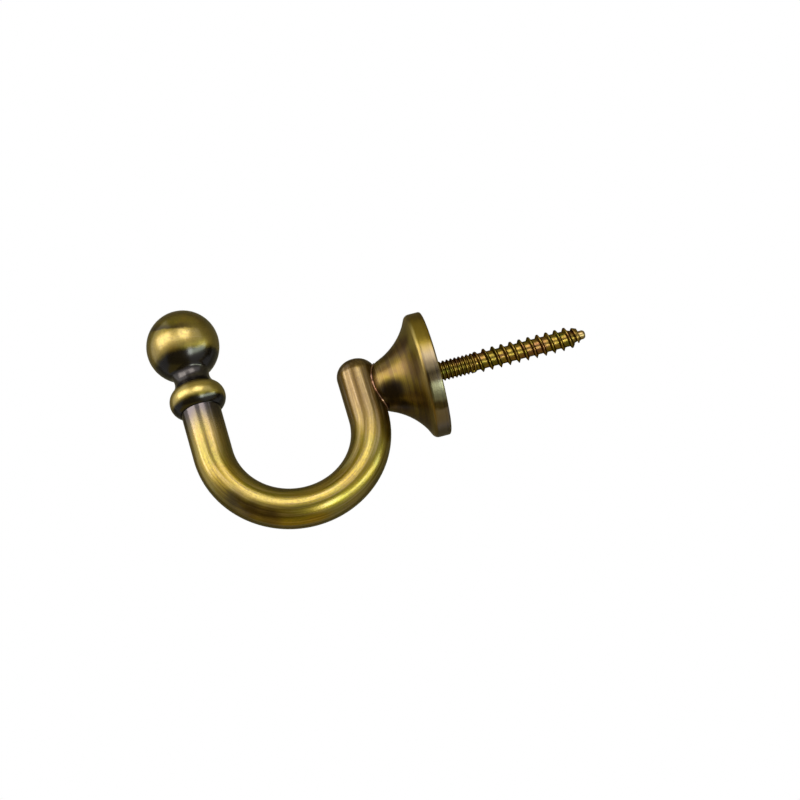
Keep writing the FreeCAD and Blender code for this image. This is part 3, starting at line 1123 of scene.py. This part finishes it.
# %% Finish of the screw
ZINC_COAT = ((0.34, colour(0.105, 0.101, 0.015)), (0.5, colour(0.230, 0.158, 0.028)),
             (0.68, colour(0.185, 0.088, 0.038)))
DULL_ZINC = colour(0.070, 0.040, 0.012)
screw_metal, tree, shader = new_metal("yellow_passivated_steel")
shader.inputs["Specular Tint"].default_value = colour(0.3, 0.25, 0.2)
place = object_place(tree)
drift = grain(tree, stretched(tree, place, (260, 420, 420)), 1.0)
dull = grain(tree, place, 2600)
tint = washed(tree, ramp(tree, drift, ZINC_COAT), DULL_ZINC, 0.4, dull, 0.45, 0.7)
along_screw = parts_of(tree, place)["X"]
tint = washed(tree, tint, PALE_RUB_AND_HIGHLIGHT, 0.5, along_screw, SCREW_END - 2.2 * MM, SCREW_END - 1.2 * MM)
tree.links.new(tint, shader.inputs["Base Color"])
tree.links.new(spread(tree, dull, 0.3, 0.7, 0.24, 0.4), shader.inputs["Roughness"])
relief(tree, shader, dull, 0.01 * MM)
finish_with(screw, screw_metal)

# %% [markdown]
# ## The camera
# The picture is taken from below with a long lens, and the camera is rolled.
# The camera's own axes are worked out first, and everything else that is placed,
# such as a lamp, is then placed along them. The aim starts near the rose and is
# moved by pixels, until the object lies where it does in the picture.

# %% The camera's axes
AZIMUTH = math.radians(-5.43)
ELEVATION = math.radians(-25.0)
ROLL = math.radians(16.87)
back = Vector((math.sin(AZIMUTH) * math.cos(ELEVATION),
               -math.cos(AZIMUTH) * math.cos(ELEVATION), math.sin(ELEVATION)))
right = Vector((math.cos(AZIMUTH), math.sin(AZIMUTH), 0))
up = back.cross(right)
camera_right = math.cos(ROLL) * right - math.sin(ROLL) * up
camera_up = math.sin(ROLL) * right + math.cos(ROLL) * up
print("from the object to the camera:", [round(v, 3) for v in back])

# %% Place the camera
DISTANCE = 0.993
LENS = 193.8
PIXELS_PER_MM = 4.336
AIM_RIGHT_PIXELS = 23.42
AIM_DOWN_PIXELS = 11.95
aim = Vector((-14 * MM, 0, 0))
aim += camera_right * (AIM_RIGHT_PIXELS / PIXELS_PER_MM * MM)
aim -= camera_up * (AIM_DOWN_PIXELS / PIXELS_PER_MM * MM)
deselect()
bpy.ops.object.camera_add(location=aim + back * DISTANCE)
camera = bpy.context.object
camera.name = "camera"
axes = Matrix((camera_right, camera_up, back)).transposed()
camera.rotation_euler = axes.to_euler()
camera.data.lens = LENS
camera.data.sensor_width = 36
camera.data.clip_start = 0.05
bpy.context.scene.camera = camera
print("camera at", [round(v, 3) for v in camera.location])

# %% [markdown]
# ## Floor and world
# A pale floor lies well below and keeps the shadow. It is wide, so that its
# edge is far away in the other views.

# %% Lay the floor
FLOOR_SIZE = 60
FLOOR_Z = -1.3


def paint(thing, name, tone, roughness):
    """Plain paint on a thing of the studio."""
    coat = bpy.data.materials.new(name)
    coat.use_nodes = True
    coat_shader = coat.node_tree.nodes["Principled BSDF"]
    coat_shader.inputs["Base Color"].default_value = tone
    coat_shader.inputs["Roughness"].default_value = roughness
    thing.data.materials.append(coat)


deselect()
bpy.ops.mesh.primitive_grid_add(x_subdivisions=4, y_subdivisions=4, size=FLOOR_SIZE,
                                location=(0, 0, FLOOR_Z))
floor = bpy.context.object
floor.name = "floor"
paint(floor, "floor_paint", colour(0.8, 0.8, 0.8), 0.9)
print("floor at", FLOOR_Z, "m,", FLOOR_SIZE, "m wide")

# %% [markdown]
# The world is white where it is seen, by the camera or in the metal, and
# dimmer where it only lights the floor. Bright lamps could make a backdrop
# white too, but they would wash out the metal.

# %% Light the world
SEEN = 1.0
UNSEEN = 0.45
world = bpy.data.worlds.new("studio")
bpy.context.scene.world = world
world.use_nodes = True
tree = world.node_tree
path = add(tree, "ShaderNodeLightPath").outputs
seen = plus(tree, path["Is Camera Ray"], path["Is Glossy Ray"], path["Is Transmission Ray"])
strength = add(tree, "ShaderNodeMapRange", {0: seen, 3: UNSEEN, 4: SEEN}).outputs[0]
sky = tree.nodes["Background"]
sky.inputs["Color"].default_value = colour(1, 1, 1)
tree.links.new(strength, sky.inputs["Strength"])
print("world nodes:", len(tree.nodes))

# %% [markdown]
# ## Soft boxes
# A thing is hung by a direction in the picture and a distance. It then faces
# the object, and its width lies along a direction that is given.

# %% Hang a thing
middle_of_object = Vector((BEND_X, 0, 0))


def seen_towards(to_right, to_up, to_camera):
    """A direction along the picture's own axes."""
    return (to_right * camera_right + to_up * camera_up + to_camera * back).normalized()


def face_the_object(thing, way, distance, along):
    """Hang a thing in a direction, facing the object, with its width along a direction."""
    across = (along - along.dot(way) * way).normalized()
    thing.location = middle_of_object + way * distance
    thing.rotation_euler = Matrix((across, way.cross(across), way)).transposed().to_euler()
    print(thing.name, "at", [round(v, 2) for v in thing.location])


# %% [markdown]
# Five lamps give the metal its streaks: a large one on the left, one above, a
# faint one between them, a long greenish strip low on the right, and a small
# one at the near end of that strip. A bar shows each lamp as one long line, so
# the place of a lamp is read from where its line should lie.

# %% Hang the soft boxes
LAMP_DISTANCE = 0.9
WARM_LIGHT = (1, 0.95, 0.87)
GOLD_LIGHT = (1, 0.94, 0.82)
COOL_LIGHT = (0.95, 1, 0.97)
GREEN_LIGHT = (0.88, 1, 0.76)


def soft_box(name, way, width, height, watts, tint, along=camera_right):
    deselect()
    bpy.ops.object.light_add(type="AREA")
    lamp = bpy.context.object
    lamp.name = name
    lamp.data.shape = "RECTANGLE"
    lamp.data.size = width
    lamp.data.size_y = height
    lamp.data.energy = watts
    lamp.data.color = tint
    lamp.visible_camera = False
    face_the_object(lamp, way, LAMP_DISTANCE, along)


strip_start = seen_towards(0.30, -0.28, 0.91)
strip_end = seen_towards(0.98, 0.15, 0.12)
strip_middle = (strip_start + strip_end).normalized()
soft_box("left_box", seen_towards(-0.86, 0.35, 0.38), 0.74, 0.48, 4.6, WARM_LIGHT)
soft_box("main_box", seen_towards(0.04, 0.68, 0.73), 0.48, 0.46, 3.0, WARM_LIGHT)
soft_box("band_box", seen_towards(-0.44, 0.45, 0.78), 0.36, 0.24, 0.5, GOLD_LIGHT)
soft_box("spark_box", seen_towards(0.40, -0.20, 0.89), 0.2, 0.36, 1.5, COOL_LIGHT)
soft_box("low_strip", strip_middle, 1.1, 0.24, 5.3, GREEN_LIGHT, strip_end - strip_start)

# %% [markdown]
# ## Flags
# Bright metal on white also needs something dark to mirror, or its edges
# vanish. A photographer hangs cloths, called flags, just outside the picture.
# Dark ones make dark edges, and gold ones warm what the metal mirrors. They
# are stage, and only mirrored light meets them: the camera doesn't see them
# and they cast no shadow. No flag hangs between a lamp and the object.

# %% Hang the flags
def flag(name, way, distance, width, height, shade):
    deselect()
    bpy.ops.mesh.primitive_grid_add(x_subdivisions=2, y_subdivisions=2, size=1)
    cloth = bpy.context.object
    cloth.name = name
    cloth.scale = (width, height, 1)
    face_the_object(cloth, way, distance, camera_right)
    paint(cloth, name + "_cloth", colour(*shade), 1)
    cloth.visible_camera = False
    cloth.visible_diffuse = False
    cloth.visible_shadow = False


flag("back_flag", seen_towards(0, 0, -1), 0.5, 2.0, 1.8, (0.19, 0.175, 0.12))
flag("front_flag", seen_towards(-0.22, -0.52, 0.82), 1.05, 1.4, 1.3, (0.27, 0.20, 0.07))
flag("low_flag", seen_towards(-0.05, -0.93, 0.25), 1.1, 1.4, 1.3, (0.85, 0.64, 0.15))
flag("top_flag", seen_towards(0, 0.97, -0.1), 1.05, 1.4, 1.2, (0.62, 0.55, 0.32))
flag("brow_flag", seen_towards(-0.30, 0.86, 0.36), 1.0, 1.5, 0.18, (0.20, 0.16, 0.06))
flag("right_flag", seen_towards(0.90, 0.42, -0.12), 1.0, 1.9, 0.9, (0.30, 0.27, 0.16))

# %% [markdown]
# ## Finish
# The colours are shown as they are, with the Standard view transform.

# %% Finish
bpy.context.scene.view_settings.view_transform = "Standard"
bpy.context.view_layer.update()
